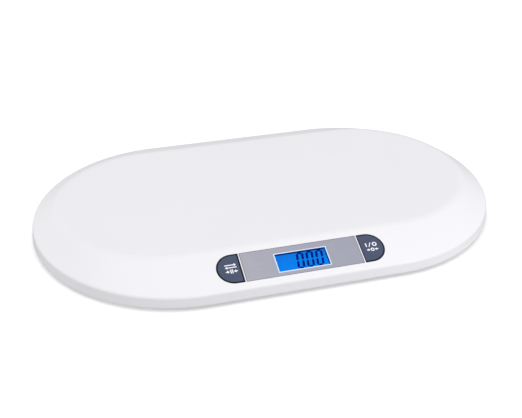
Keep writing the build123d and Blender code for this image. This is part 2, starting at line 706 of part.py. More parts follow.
def cover_screws():
    """Pan-head screws that join the covers, with cross recesses."""
    screws = []
    head_bottom = SCREW_SEAT_Z - SCREW_HEAD_HEIGHT
    for x, y in screw_places():
        head = disc(SCREW_HEAD_RADIUS, head_bottom, SCREW_SEAT_Z, x, y)
        head = fillet(head.edges().filter_by_position(Axis.Z, head_bottom - 0.01, head_bottom + 0.01), 0.7)
        screw = head + disc(SCREW_RADIUS, SCREW_SEAT_Z, SCREW_TIP_Z, x, y)
        for length, width in ((CROSS_LENGTH, CROSS_WIDTH), (CROSS_WIDTH, CROSS_LENGTH)):
            screw -= block(length, width, head_bottom - 1, head_bottom + CROSS_DEPTH, x, y)
        screws.append(screw)
    return Compound(children=screws)


def bend_radii(points):
    """Bend radius at each inner point: as large as its two runs leave room for."""
    radii = []
    for before, here, after in zip(points, points[1:], points[2:]):
        run_in = Vector(*here) - Vector(*before)
        run_out = Vector(*after) - Vector(*here)
        half_turn = radians(run_in.get_angle(run_out)) / 2
        radii.append(LEAD_BEND * min(run_in.length, run_out.length) / tan(half_turn))
    return radii


def lead(points):
    """Round lead along straight runs joined by tangent arcs."""
    radii = bend_radii(points)
    print("lead bend radii", [round(radius, 1) for radius in radii])
    path = FilletPolyline(*points, radius=radii)
    return sweep(Plane(path @ 0, z_dir=path % 0) * Circle(LEAD_RADIUS), path=path)


def socket_mouth(index):
    """Where a lead enters its socket, and a point straight out from there."""
    depth = BOARD_BACK - SOCKET_SIZE[2] / 2
    edge = SOCKET_Y + SOCKET_SIZE[1] / 2
    mouth = STRIP_PLANE.from_local_coords(Vector(socket_x(index), edge, depth))
    clear = STRIP_PLANE.from_local_coords(Vector(socket_x(index), edge + 7, depth))
    return tuple(mouth), tuple(clear)


def front_cell_route(side):
    """Points of the lead from a front load cell, along the base, to the board."""
    mouth, clear = socket_mouth(2 + 2 * side)
    start_x = FOOT_X - CELL_SIZE / 2
    height = CELL_BOTTOM + CELL_THICKNESS / 2
    return [
        (side * start_x, -FOOT_Y, height),
        (side * (start_x - 18), -FOOT_Y, height),
        (side * 128, -FOOT_Y - 6, LEAD_FLOOR_Z),
        (side * 100, -FOOT_Y - 9, LEAD_FLOOR_Z + 0.3),
        (side * 66, -FOOT_Y - 5, LEAD_FLOOR_Z + 1),
        (side * 36, -FOOT_Y - 13, LEAD_FLOOR_Z + 9.3),
        clear,
        mouth,
    ]


def back_cell_route(side):
    """Points of the lead from a back load cell, past the battery box, to the board."""
    mouth, clear = socket_mouth(2 + side)
    start_x = FOOT_X - CELL_SIZE / 2
    height = CELL_BOTTOM + CELL_THICKNESS / 2
    return [
        (side * start_x, FOOT_Y, height),
        (side * (start_x - 20), FOOT_Y, height),
        (side * 124, FOOT_Y - 18, LEAD_FLOOR_Z),
        (side * 110, FOOT_Y - 58, LEAD_FLOOR_Z + 0.2),
        (side * 86, FOOT_Y - 100, LEAD_FLOOR_Z),
        (side * 66, FOOT_Y - 140, LEAD_FLOOR_Z + 0.2),
        (side * 44, FOOT_Y - 174, LEAD_FLOOR_Z + 1),
        (side * 16, FOOT_Y - 194, LEAD_FLOOR_Z + 7.3),
        clear,
        mouth,
    ]


def battery_route():
    """Points of the lead from the battery box to the middle socket."""
    mouth, clear = socket_mouth(2)
    box_front = BOX_CENTRE_Y - BOX_WIDTH / 2 - BOX_WALL
    return [
        (0, box_front, LEAD_FLOOR_Z + 6.3),
        (0, box_front - 10, LEAD_FLOOR_Z + 6.3),
        (0, box_front - 24, LEAD_FLOOR_Z + 3.3),
        (0, box_front - 38, LEAD_FLOOR_Z + 5.3),
        (0, box_front - 50, LEAD_FLOOR_Z + 11.3),
        clear,
        mouth,
    ]


def all_parts():
    """Every sub-part by name."""
    parts = {
        "top_cover": top_cover(),
        "base_cover": base_cover(),
        "battery_door": battery_door(),
        "display_fascia": display_fascia(),
        "display_window": display_window(),
        "lcd_panel": lcd_panel(),
        "lcd_frame": lcd_frame(),
        "lcd_backlight": lcd_backlight(),
        "zebra_connector": zebra_connector(),
        "main_board": main_board(),
        "processor_chip": processor_chip(),
        "board_components": board_components(),
        "lead_sockets": lead_sockets(),
        "board_screws": board_screws(),
        "cover_screws": cover_screws(),
        "battery_plates": battery_plates(),
        "battery_springs": battery_springs(),
        "battery_lead": lead(battery_route()),
    }
    for name, side in (("left", -1), ("right", 1)):
        parts[name + "_button"] = button(side)
        parts[name + "_switch"] = switch(side)
        parts[name + "_switch_plunger"] = switch_plunger(side)
        parts["load_cell_lead_front_" + name] = lead(front_cell_route(side))
        parts["load_cell_lead_back_" + name] = lead(back_cell_route(side))
    for index in range(BATTERY_COUNT):
        parts["battery_" + str(index + 1)] = battery(index)
    for name, (x, y) in CORNERS.items():
        parts["load_cell_" + name] = load_cell(x, y)
        parts["cell_retainer_" + name] = cell_retainer(x, y)
        parts["foot_" + name] = foot(x, y)
        parts["foot_pad_" + name] = foot_pad(x, y)
    return parts


os.makedirs("parts", exist_ok=True)
for part_name, part in all_parts().items():
    export_step(part, "parts/" + part_name + ".step")
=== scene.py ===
import math

import bmesh
import bpy
from mathutils import Euler, Matrix, Vector


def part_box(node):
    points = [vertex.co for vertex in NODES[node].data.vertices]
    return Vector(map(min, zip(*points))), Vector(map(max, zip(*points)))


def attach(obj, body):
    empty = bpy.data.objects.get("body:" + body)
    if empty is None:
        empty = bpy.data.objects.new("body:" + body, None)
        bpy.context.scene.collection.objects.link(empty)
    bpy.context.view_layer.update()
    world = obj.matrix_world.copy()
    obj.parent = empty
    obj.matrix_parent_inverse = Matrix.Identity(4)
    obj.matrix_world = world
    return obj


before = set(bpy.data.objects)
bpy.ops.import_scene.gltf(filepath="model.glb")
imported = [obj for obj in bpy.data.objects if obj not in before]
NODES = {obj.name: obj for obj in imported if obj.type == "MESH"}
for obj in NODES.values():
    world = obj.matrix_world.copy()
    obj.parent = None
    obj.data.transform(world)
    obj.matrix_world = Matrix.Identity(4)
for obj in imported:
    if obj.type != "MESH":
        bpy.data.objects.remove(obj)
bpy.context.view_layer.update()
BODY = "scale_body"
MM = 0.001
CORNERS = ("front_left", "front_right", "back_left", "back_right")
SQUARE = ((-1, -1), (1, -1), (1, 1), (-1, 1))     # corner directions, anticlockwise

# ---- the display strip's own frame ----
# u runs along the scale, v up the slope and w square out of the sloping face; w is 0 on the face.

SLOPE = math.atan2(18.8, 51.46)
PANE_LIP = 2.0 * MM          # the window pane runs this far behind the fascia
FACE_ABOVE_FASCIA = 0.15 * MM


def rotation_to_slope():
    return Euler((SLOPE, 0, 0)).to_matrix()


def sloped_box(name, turn):
    """Lowest and highest corner of a node along axes turned to the slope."""
    back = turn.transposed()
    points = [back @ vertex.co for vertex in NODES[name].data.vertices]
    low = Vector(min(point[axis] for point in points) for axis in range(3))
    high = Vector(max(point[axis] for point in points) for axis in range(3))
    return low, high


def strip_frame():
    """Frame on the sloping face, at the middle of the fascia."""
    turn = rotation_to_slope()
    low, high = sloped_box("display_fascia", turn)
    middle = (low + high) / 2
    origin = turn @ Vector((middle.x, middle.y, high.z + FACE_ABOVE_FASCIA))
    return Matrix.Translation(origin) @ turn.to_4x4()


STRIP = strip_frame()


def strip_box(name):
    """Lowest and highest corner of a node in the strip's frame."""
    turn = rotation_to_slope()
    low, high = sloped_box(name, turn)
    origin = turn.transposed() @ STRIP.translation
    return low - origin, high - origin


FASCIA_LOW, FASCIA_HIGH = strip_box("display_fascia")
PANE_LOW, PANE_HIGH = strip_box("display_window")
LCD_HIGH = strip_box("lcd_panel")[1]
KEY_LOW, KEY_HIGH = strip_box("right_button")
OPENING_LOW = PANE_LOW + Vector((PANE_LIP, PANE_LIP, 0))
OPENING_HIGH = PANE_HIGH - Vector((PANE_LIP, PANE_LIP, 0))


# ---- camera, lights and floor ----

CAMERA_AZIMUTH = math.radians(-16.658)     # from straight in front; negative is to the left
CAMERA_ELEVATION = math.radians(31.791)
CAMERA_ROLL = math.radians(0.885)
CAMERA_DISTANCE = 1.0933
CAMERA_TARGET = Vector((-0.01058, -0.01845, 0.0167))
CAMERA_LENS = 63.1                         # in millimetres, like the width of the sensor
SENSOR_WIDTH = 36.0
CLIP_START = 0.01


def add_camera():
    back = Vector((
        math.sin(CAMERA_AZIMUTH) * math.cos(CAMERA_ELEVATION),
        -math.cos(CAMERA_AZIMUTH) * math.cos(CAMERA_ELEVATION),
        math.sin(CAMERA_ELEVATION),
    ))
    right = (-back).cross(Vector((0, 0, 1))).normalized()
    up = right.cross(-back)
    turned_right = right * math.cos(CAMERA_ROLL) + up * math.sin(CAMERA_ROLL)
    turned_up = up * math.cos(CAMERA_ROLL) - right * math.sin(CAMERA_ROLL)
    data = bpy.data.cameras.new("camera")
    data.sensor_width = SENSOR_WIDTH
    data.lens = CAMERA_LENS
    data.clip_start = CLIP_START
    camera = bpy.data.objects.new("camera", data)
    pose = Matrix.Identity(4)
    for column, axis in enumerate((turned_right, turned_up, back)):
        for row in range(3):
            pose[row][column] = axis[row]
    pose.translation = CAMERA_TARGET + back * CAMERA_DISTANCE
    camera.matrix_world = pose
    bpy.context.scene.collection.objects.link(camera)
    bpy.context.scene.camera = camera


LIGHTS = (                 # name, place, size, watts, and whether reflections show it
    ("overhead", (0, 0, 4.4), (4.6, 3.6), 42, True),
    ("right_front", (0.75, -1.0, 0.22), (0.3, 0.3), 4.9, False),
    ("left_side", (-2.6, -0.6, 1.2), (1.2, 0.8), 17, False),
)


def add_softbox(name, place, size, watts, mirrored):
    """Rectangular light aimed at the middle of the scale, kept out of reflections unless mirrored."""
    data = bpy.data.lights.new(name, "AREA")
    data.shape = "RECTANGLE"
    data.size, data.size_y = size
    data.energy = watts
    light = bpy.data.objects.new(name, data)
    light.location = place
    light.visible_camera = False
    light.visible_glossy = mirrored
    light.rotation_euler = (-Vector(place)).to_track_quat("-Z", "Y").to_euler()
    bpy.context.scene.collection.objects.link(light)


WORLD_LEVELS = (           # height of the direction, from -1 to 1, and its brightness
    (-0.08, 0.43),
    (-0.02, 0.80),
    (0.08, 0.80),
    (0.20, 0.81),
)


def add_world():
    """Pale sky down to the horizon, and dimmer below it."""
    world = bpy.data.worlds.new("studio")
    world.use_nodes = True
    tree = world.node_tree
    place = tree.nodes.new("ShaderNodeTexCoord")
    split = tree.nodes.new("ShaderNodeSeparateXYZ")
    height = tree.nodes.new("ShaderNodeMapRange")
    height.inputs["From Min"].default_value = -1
    ramp = tree.nodes.new("ShaderNodeValToRGB")
    tree.links.new(place.outputs["Generated"], split.inputs["Vector"])
    tree.links.new(split.outputs["Z"], height.inputs["Value"])
    tree.links.new(height.outputs["Result"], ramp.inputs["Fac"])
    tree.links.new(ramp.outputs["Color"], tree.nodes["Background"].inputs["Color"])
    stops = ramp.color_ramp.elements
    while len(stops) < len(WORLD_LEVELS):
        stops.new(1.0)
    for stop, (level, brightness) in zip(stops, WORLD_LEVELS):
        stop.position = (level + 1) / 2
        stop.color = (brightness, brightness, brightness * 1.01, 1)
    bpy.context.scene.world = world


FLOOR_HALF = 8.0           # from the middle of the floor to its edges
BESIDE = (0.45, 0.12)      # distance from the middle, and the floor's own glow there
AWAY = (1.3, 0.30)
FADE_START = (1.8, 1)      # distance from the middle, and the share of the glow left there
FADE_END = (7.0, 0.03)


def add_floor():
    """White floor that dims with distance until it meets the sky without a line."""
    mesh = bpy.data.meshes.new("floor")
    corners = [(x * FLOOR_HALF, y * FLOOR_HALF, 0) for x, y in SQUARE]
    mesh.from_pydata(corners, [], [(0, 1, 2, 3)])
    floor = bpy.data.objects.new("floor", mesh)
    floor.visible_diffuse = False
    floor.visible_glossy = False
    bpy.context.scene.collection.objects.link(floor)
    paint, shader = new_material("floor_white")
    away = node(paint, "ShaderNodeVectorMath", operation="LENGTH")
    feed(paint, coordinates(paint), away.inputs[0])
    distance = away.outputs["Value"]
    near_glow = spread(paint, distance, BESIDE[1], AWAY[1], BESIDE[0], AWAY[0])
    far_share = spread(paint, distance, FADE_START[1], FADE_END[1], FADE_START[0], FADE_END[0])
    glow = maths(paint, "MULTIPLY", near_glow, far_share)
    feed(paint, glow, shader.inputs["Emission Strength"])
    shader.inputs["Emission Color"].default_value = (1, 1, 1, 1)
    shader.inputs["Base Color"].default_value = (0.98, 0.98, 0.98, 1)
    shader.inputs["Roughness"].default_value = 0.9
    shader.inputs["Specular IOR Level"].default_value = 0.1
    mesh.materials.append(paint)


# ---- shader helpers ----

def new_material(name):
    paint = bpy.data.materials.new(name)
    paint.use_nodes = True
    return paint, paint.node_tree.nodes["Principled BSDF"]


def node(paint, kind, **settings):
    made = paint.node_tree.nodes.new(kind)
    for key, value in settings.items():
        if hasattr(made, key):
            setattr(made, key, value)
        else:
            made.inputs[key.replace("_", " ")].default_value = value
    return made


def feed(paint, value, target):
    """Joins a socket to an input, or sets the input to a plain number."""
    if isinstance(value, (int, float)):
        target.default_value = value
    else:
        paint.node_tree.links.new(value, target)


def coordinates(paint, stretch=(1, 1, 1), turn=(0, 0, 0)):
    """Object coordinates in metres, stretched per axis."""
    place = node(paint, "ShaderNodeTexCoord")
    mapping = node(paint, "ShaderNodeMapping")
    mapping.inputs["Scale"].default_value = stretch
    mapping.inputs["Rotation"].default_value = turn
    feed(paint, place.outputs["Object"], mapping.inputs["Vector"])
    return mapping.outputs["Vector"]


def strip_coordinates(paint):
    """The strip's u, v and w in millimetres, as three sockets."""
    place = node(paint, "ShaderNodeTexCoord")
    mapping = node(paint, "ShaderNodeMapping")
    mapping.inputs["Scale"].default_value = (1 / MM, 1 / MM, 1 / MM)
    mapping.inputs["Rotation"].default_value = (-SLOPE, 0, 0)
    origin = rotation_to_slope().transposed() @ STRIP.translation
    mapping.inputs["Location"].default_value = -origin / MM
    feed(paint, place.outputs["Object"], mapping.inputs["Vector"])
    split = node(paint, "ShaderNodeSeparateXYZ")
    feed(paint, mapping.outputs["Vector"], split.inputs["Vector"])
    return split.outputs["X"], split.outputs["Y"], split.outputs["Z"]


def maths(paint, operation, first, second=0.0):
    made = node(paint, "ShaderNodeMath", operation=operation)
    feed(paint, first, made.inputs[0])
    feed(paint, second, made.inputs[1])
    return made.outputs["Value"]


def noise(paint, vector, scale, detail=3.0, roughness=0.5):
    made = node(paint, "ShaderNodeTexNoise", Scale=scale, Detail=detail, Roughness=roughness)
    feed(paint, vector, made.inputs["Vector"])
    return made.outputs["Fac"]


def spread(paint, value, low, high, from_low=0.3, from_high=0.7):
    """Maps one range of a value to another, held at its ends."""
    made = node(paint, "ShaderNodeMapRange")
    made.inputs["From Min"].default_value = from_low
    made.inputs["From Max"].default_value = from_high
    made.inputs["To Min"].default_value = low
    made.inputs["To Max"].default_value = high
    feed(paint, value, made.inputs["Value"])
    return made.outputs["Result"]


def blend_colour(paint, factor, first, second):
    """Mixes two colours, each a plain colour or a socket."""
    made = node(paint, "ShaderNodeMix", data_type="RGBA")
    for index, colour in ((6, first), (7, second)):
        if isinstance(colour, tuple):
            made.inputs[index].default_value = (*colour, 1)
        else:
            feed(paint, colour, made.inputs[index])
    feed(paint, factor, made.inputs[0])
    return made.outputs[2]


def add_bump(paint, shader, height, distance, strength=1.0):
    made = node(paint, "ShaderNodeBump", Strength=strength, Distance=distance)
    feed(paint, height, made.inputs["Height"])
    feed(paint, made.outputs["Normal"], shader.inputs["Normal"])


def darker(colour, share):
    return tuple(channel * (1 - share) for channel in colour)


def clouded(paint, vector, colour, vary, scale=9.0):
    """Colour with a faint cloudiness."""
    cloud = noise(paint, vector, scale, 4.0)
    return blend_colour(paint, spread(paint, cloud, 0, 1), colour, darker(colour, vary))


# ---- materials ----

def moulded(name, colour, vary=0.03, rough=0.4, grain=1400.0, depth=0.02 * MM):
    """Moulded plastic: faint cloudiness, uneven gloss and a fine spark-eroded grain."""
    paint, shader = new_material(name)
    vector = coordinates(paint)
    feed(paint, clouded(paint, vector, colour, vary), shader.inputs["Base Color"])
    patches = noise(paint, vector, 45.0, 5.0)
    feed(paint, spread(paint, patches, rough - 0.05, rough + 0.05), shader.inputs["Roughness"])
    add_bump(paint, shader, noise(paint, vector, grain, 2.0), depth)
    return paint


def metal(name, colour, rough, stretch=(1, 1, 1), scale=900.0, depth=0.004 * MM):
    """Bare or plated metal with fine scratches along one axis."""
    paint, shader = new_material(name)
    shader.inputs["Metallic"].default_value = 1.0
    vector = coordinates(paint, stretch)
    feed(paint, clouded(paint, vector, colour, 0.12, 60.0), shader.inputs["Base Color"])
    scratches = noise(paint, vector, scale, 6.0, 0.7)
    feed(paint, spread(paint, scratches, rough - 0.08, rough + 0.12), shader.inputs["Roughness"])
    add_bump(paint, shader, scratches, depth)
    return paint


def key_edge_distance(paint, u, v, right_inner_shift=0.0):
    """Distance in from the outline of a key, in millimetres; u and v are the strip's.

    The shift is added at the straight inner edge of the right key only.
    """
    radius = (KEY_HIGH.y - KEY_LOW.y) / 2 / MM
    round_centre = KEY_HIGH.x / MM - radius
    along = maths(paint, "ABSOLUTE", u)
    beyond = maths(paint, "MAXIMUM", maths(paint, "SUBTRACT", along, round_centre), 0.0)
    square = maths(paint, "ADD", maths(paint, "POWER", beyond, 2.0), maths(paint, "POWER", v, 2.0))
    reach = maths(paint, "SQRT", square)
    from_round = maths(paint, "SUBTRACT", radius, reach)
    shift = maths(paint, "MULTIPLY", maths(paint, "GREATER_THAN", u, 0.0), right_inner_shift)
    from_inner = maths(paint, "SUBTRACT", maths(paint, "ADD", along, shift), KEY_LOW.x / MM)
    return maths(paint, "MINIMUM", from_round, from_inner)


def box_edge_distance(paint, u, v, low, high):
    """Distance in from the sides of a rectangle on the strip, in millimetres."""
    across = maths(paint, "SUBTRACT", (high.x - low.x) / 2 / MM, maths(paint, "ABSOLUTE", u))
    middle = (high.y + low.y) / 2 / MM
    off_middle = maths(paint, "ABSOLUTE", maths(paint, "SUBTRACT", v, middle))
    upward = maths(paint, "SUBTRACT", (high.y - low.y) / 2 / MM, off_middle)
    return maths(paint, "MINIMUM", across, upward)


KEY_GAP = (-0.75, -0.55)       # end of the shade round a key and start of its full depth, in millimetres
GAP_SHADE = (-0.5, -0.1)       # full shade and no shade, measured down from the face in millimetres
GAP_MIDDLE = 1.5               # depth of the middle of the gap, in millimetres
GAP_HALF_DEPTH = 1.6


def cover_white():
    """Satin white plastic, with painted shade in the narrow gap round each key."""
    paint, shader = new_material("cover_white")
    white = (0.775, 0.772, 0.795)
    vector = coordinates(paint)
    u, v, w = strip_coordinates(paint)
    inside = spread(paint, key_edge_distance(paint, u, v), 0, 1, *KEY_GAP)
    below = spread(paint, w, 1, 0, *GAP_SHADE)
    off_middle = maths(paint, "ABSOLUTE", maths(paint, "ADD", w, GAP_MIDDLE))
    near = maths(paint, "LESS_THAN", off_middle, GAP_HALF_DEPTH)
    shade = maths(paint, "MULTIPLY", maths(paint, "MULTIPLY", inside, below), near)
    plain = clouded(paint, vector, white, 0.015)
    # painted shade: the cover is coloured nearly black inside the gap round each key
    feed(paint, blend_colour(paint, shade, plain, (0.012, 0.014, 0.022)), shader.inputs["Base Color"])
    patches = noise(paint, vector, 45.0, 5.0)
    feed(paint, spread(paint, patches, 0.33, 0.41), shader.inputs["Roughness"])
    shader.inputs["Specular IOR Level"].default_value = 0.3
    add_bump(paint, shader, noise(paint, vector, 1500.0, 2.0), 0.012 * MM)
    return paint


FASCIA_RIM = (0.35, 0.9)       # end of the darkest rim and of its fade, in millimetres in from the sides


def fascia_silver():
    """Satin silver-grey film, finely brushed along its length, with painted light that makes it lighter at
    its left end and darker at its right, and darker along its edges.
    """
    paint, shader = new_material("fascia_silver")
    vector = coordinates(paint)
    u, v = strip_coordinates(paint)[:2]
    brushed = noise(paint, coordinates(paint, (30, 2200, 2200)), 1.0, 4.0, 0.6)
    # painted light: the film's tone darkens from its left end to its right end, standing in for how light
    # falls on it
    along = spread(paint, u, 0, 1, FASCIA_LOW.x / MM, FASCIA_HIGH.x / MM)
    painted_light_tone = blend_colour(paint, along, (0.345, 0.345, 0.398), (0.297, 0.305, 0.378))
    lines = blend_colour(paint, spread(paint, brushed, 0.0, 0.16), painted_light_tone, (0.20, 0.20, 0.24))
    edge = box_edge_distance(paint, u, v, FASCIA_LOW, FASCIA_HIGH)
    rim = spread(paint, edge, 0.9, 0, *FASCIA_RIM)
    feed(paint, blend_colour(paint, rim, lines, (0.13, 0.13, 0.15)), shader.inputs["Base Color"])
    shader.inputs["Metallic"].default_value = 0.25
    patches = noise(paint, vector, 60.0, 4.0)
    feed(paint, spread(paint, patches, 0.36, 0.44), shader.inputs["Roughness"])
    add_bump(paint, shader, brushed, 0.006 * MM)
    return paint


KEY_SHADE_RIM = (1.1, 1.7)           # end of the full rim of painted shade and of its fade, in millimetres in from the outline
# painted light: the rim is thinner at the right key's inner edge, as if light falls on it there
RIGHT_KEY_LIT_SHIFT = 1.0


def key_grey():
    """Satin blue-grey key with a nearly black rim of painted shade, thin at the inner edge of the right
    key, which is painted as lit.
    """
    paint, shader = new_material("button_grey")
    vector = coordinates(paint)
    u, v = strip_coordinates(paint)[:2]
    body = clouded(paint, vector, (0.066, 0.081, 0.140), 0.10, 70.0)
    # painted shade round the key's outline
    rim = spread(paint, key_edge_distance(paint, u, v, RIGHT_KEY_LIT_SHIFT), 1, 0, *KEY_SHADE_RIM)
    feed(paint, blend_colour(paint, rim, body, (0.004, 0.006, 0.014)), shader.inputs["Base Color"])
    shader.inputs["Specular IOR Level"].default_value = 0.12
    patches = noise(paint, vector, 80.0, 5.0)
    feed(paint, spread(paint, patches, 0.36, 0.46), shader.inputs["Roughness"])
    add_bump(paint, shader, noise(paint, vector, 2200.0, 2.0), 0.014 * MM)
    return paint


GLASS_SHADE_RIM = (0.2, 1.3)         # end of the darkest rim of painted shade and of its fade, in millimetres in from the opening
GLASS_FACE = (0.2, 0.1)        # the glow starts and is full at these depths below the face, in millimetres


def lcd_lit():
    """Glass lit blue from behind, a little darker towards the top, with painted shade at the edges."""
    paint, shader = new_material("lcd_glass")
    u, v, w = strip_coordinates(paint)
    vector = coordinates(paint)
    shader.inputs["Base Color"].default_value = (0.002, 0.010, 0.045, 1)
    shader.inputs["Roughness"].default_value = 0.3
    shader.inputs["Specular IOR Level"].default_value = 0.0
    up = spread(paint, v, 0, 1, OPENING_LOW.y / MM, OPENING_HIGH.y / MM)
    blue = blend_colour(paint, up, (0.001, 0.235, 0.90), (0.003, 0.175, 0.74))
    lumps = spread(paint, noise(paint, vector, 120.0, 2.0), 0, 0.12)
    uneven = blend_colour(paint, lumps, blue, (0.002, 0.13, 0.62))
    edge = box_edge_distance(paint, u, v, OPENING_LOW, OPENING_HIGH)
    # painted shade along the edges of the opening, where the window's edge shades the glass
    rim = spread(paint, edge, 1, 0, *GLASS_SHADE_RIM)
    face = LCD_HIGH.z / MM
    front = spread(paint, w, 0, 1, face - GLASS_FACE[0], face - GLASS_FACE[1])
    glow = blend_colour(paint, rim, uneven, (0.002, 0.018, 0.16))
    feed(paint, blend_colour(paint, front, (0.0, 0.0, 0.0), glow), shader.inputs["Emission Color"])
    shader.inputs["Emission Strength"].default_value = 1.0
    return paint


def backlight_blue():
    """Light guide that glows through rows of small printed dots."""
    paint, shader = new_material("backlight_blue")
    dots = node(paint, "ShaderNodeTexVoronoi", Scale=700.0)
    feed(paint, coordinates(paint), dots.inputs["Vector"])
    level = spread(paint, dots.outputs["Distance"], 1, 0, 0.2, 0.5)
    glow = blend_colour(paint, level, (0.004, 0.18, 0.62), (0.02, 0.34, 0.95))
    feed(paint, glow, shader.inputs["Emission Color"])
    shader.inputs["Emission Strength"].default_value = 0.9
    shader.inputs["Base Color"].default_value = (0.04, 0.22, 0.60, 1)
    shader.inputs["Roughness"].default_value = 0.3
    return paint


def window_clear():
    """Clear hard-coated pane with faint wiping marks."""
    paint, shader = new_material("window_clear")
    vector = coordinates(paint, (40, 40, 400))
    marks = noise(paint, vector, 3.0, 5.0, 0.6)
    tint = blend_colour(paint, marks, (0.010, 0.014, 0.024), (0.022, 0.028, 0.042))
    feed(paint, tint, shader.inputs["Base Color"])
    feed(paint, spread(paint, marks, 0.04, 0.12), shader.inputs["Roughness"])
    shader.inputs["Alpha"].default_value = 0.012
    shader.inputs["Specular IOR Level"].default_value = 0.1
    return paint


def lcd_ink():
    """Dark blue of a switched-on segment, with a little backlight coming through."""
    paint, shader = new_material("lcd_ink")
    vector = coordinates(paint)
    feed(paint, clouded(paint, vector, (0.000, 0.003, 0.030), 0.3, 300.0), shader.inputs["Base Color"])
    feed(paint, clouded(paint, vector, (0.000, 0.012, 0.190), 0.3, 300.0), shader.inputs["Emission Color"])
    shader.inputs["Emission Strength"].default_value = 1.0
    shader.inputs["Roughness"].default_value = 0.6
    shader.inputs["Specular IOR Level"].default_value = 0.0
    return paint


def rubber(name, colour, grain=2600.0):
    """Soft rubber: dull, with a fine open grain."""
    return moulded(name, colour, 0.15, 0.75, grain, 0.03 * MM)


def board_green():
    """Solder mask over faint copper tracks."""
    paint, shader = new_material("board_green")
    vector = coordinates(paint)
    tracks = node(paint, "ShaderNodeTexBrick", Scale=1.0)
    tracks.inputs["Brick Width"].default_value = 0.012
    tracks.inputs["Row Height"].default_value = 0.0022
    tracks.inputs["Mortar Size"].default_value = 0.0003
    tracks.inputs["Color1"].default_value = (0.010, 0.100, 0.035, 1)
    tracks.inputs["Color2"].default_value = (0.012, 0.115, 0.042, 1)
    tracks.inputs["Mortar"].default_value = (0.040, 0.220, 0.080, 1)
    feed(paint, coordinates(paint, (1, 1, 1), (-SLOPE, 0, 0)), tracks.inputs["Vector"])
    feed(paint, tracks.outputs["Color"], shader.inputs["Base Color"])
    feed(paint, spread(paint, noise(paint, vector, 300.0), 0.25, 0.4), shader.inputs["Roughness"])
    add_bump(paint, shader, tracks.outputs["Fac"], 0.03 * MM)
    return paint


def zebra_rubber():
    """Bar of thin conductive and clear layers."""
    paint, shader = new_material("zebra_rubber")
    stripes = node(paint, "ShaderNodeTexWave", bands_direction="X", Scale=1000.0, Distortion=0.2)
    feed(paint, coordinates(paint), stripes.inputs["Vector"])
    colour = blend_colour(paint, stripes.outputs["Fac"], (0.02, 0.02, 0.022), (0.42, 0.42, 0.44))
    feed(paint, colour, shader.inputs["Base Color"])
    shader.inputs["Roughness"].default_value = 0.6
    return paint


BAND_LENGTH = 12.0 * MM        # lighter band and bare steel, both from the positive end
BARE_LENGTH = 1.8 * MM
PRINT_BLUR = 0.2 * MM


def battery_jacket(name, facing):
    """Plain printed jacket with a lighter band next to its positive end, which is bare steel."""
    paint, shader = new_material(name + "_jacket")
    low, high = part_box(name)
    positive_end = high.x if facing > 0 else low.x
    place = node(paint, "ShaderNodeTexCoord")
    split = node(paint, "ShaderNodeSeparateXYZ")
    feed(paint, place.outputs["Object"], split.inputs["Vector"])
    from_end = maths(paint, "ABSOLUTE", maths(paint, "SUBTRACT", split.outputs["X"], positive_end))
    band = spread(paint, from_end, 1, 0, BAND_LENGTH - PRINT_BLUR, BAND_LENGTH)
    bare = spread(paint, from_end, 1, 0, BARE_LENGTH - PRINT_BLUR, BARE_LENGTH)
    vector = coordinates(paint)
    dark = clouded(paint, vector, (0.016, 0.022, 0.040), 0.2, 120.0)
    jacket = blend_colour(paint, band, dark, (0.50, 0.26, 0.07))
    feed(paint, blend_colour(paint, bare, jacket, (0.62, 0.62, 0.60)), shader.inputs["Base Color"])
    feed(paint, bare, shader.inputs["Metallic"])
    feed(paint, spread(paint, noise(paint, vector, 400.0), 0.22, 0.34), shader.inputs["Roughness"])
    return paint


def printed(name, colour, rough=0.5):
    """Screen-printed ink: slightly uneven, with a soft dull face."""
    return moulded(name, colour, 0.06, rough, 3000.0, 0.004 * MM)


def dress(paint, *names):
    """Gives CAD nodes one material."""
    for name in names:
        slots = NODES[name].data.materials
        slots.clear()
        slots.append(paint)


def at_corners(prefix):
    return [prefix + corner for corner in CORNERS]


def dress_nodes():
    dress(cover_white(), "top_cover")
    dress(moulded("base_white", (0.70, 0.70, 0.715), 0.03, 0.52, 1000.0, 0.04 * MM), "base_cover")
    dress(moulded("door_white", (0.72, 0.72, 0.735), 0.03, 0.48, 1000.0, 0.04 * MM), "battery_door")
    dress(fascia_silver(), "display_fascia")
    dress(key_grey(), "left_button", "right_button")
    dress(window_clear(), "display_window")
    dress(lcd_lit(), "lcd_panel")
    dress(backlight_blue(), "lcd_backlight")
    dress(moulded("frame_white", (0.70, 0.70, 0.68)), "lcd_frame", *at_corners("cell_retainer_"))
    dress(zebra_rubber(), "zebra_connector")
    dress(board_green(), "main_board")
    dress(moulded("chip_black", (0.006, 0.006, 0.007), 0.2, 0.22, 200.0, 0.1 * MM), "processor_chip")
    dress(moulded("component_grey", (0.05, 0.045, 0.04), 0.3, 0.35), "board_components")
    dress(moulded("socket_cream", (0.72, 0.66, 0.50)), "lead_sockets")
    dress(metal("screw_steel", (0.62, 0.62, 0.64), 0.30), "cover_screws", "board_screws")
    dress(metal("contact_nickel", (0.68, 0.66, 0.60), 0.24), "battery_plates", "battery_springs")
    dress(metal("cell_steel", (0.58, 0.59, 0.61), 0.34, (1, 25, 1)), *at_corners("load_cell_"))
    dress(moulded("switch_black", (0.012, 0.012, 0.013)), "left_switch", "right_switch")
    dress(moulded("plunger_white", (0.62, 0.62, 0.58)), "left_switch_plunger", "right_switch_plunger")
    dress(moulded("foot_grey", (0.30, 0.31, 0.33), 0.05, 0.5), *at_corners("foot_"))
    dress(rubber("pad_rubber", (0.022, 0.022, 0.024)), *at_corners("foot_pad_"))
    dress(rubber("lead_grey", (0.030, 0.030, 0.033)), "battery_lead", *at_corners("load_cell_lead_"))
    for index in range(4):
        name = "battery_" + str(index + 1)
        dress(battery_jacket(name, 1 if index % 2 == 0 else -1), name)


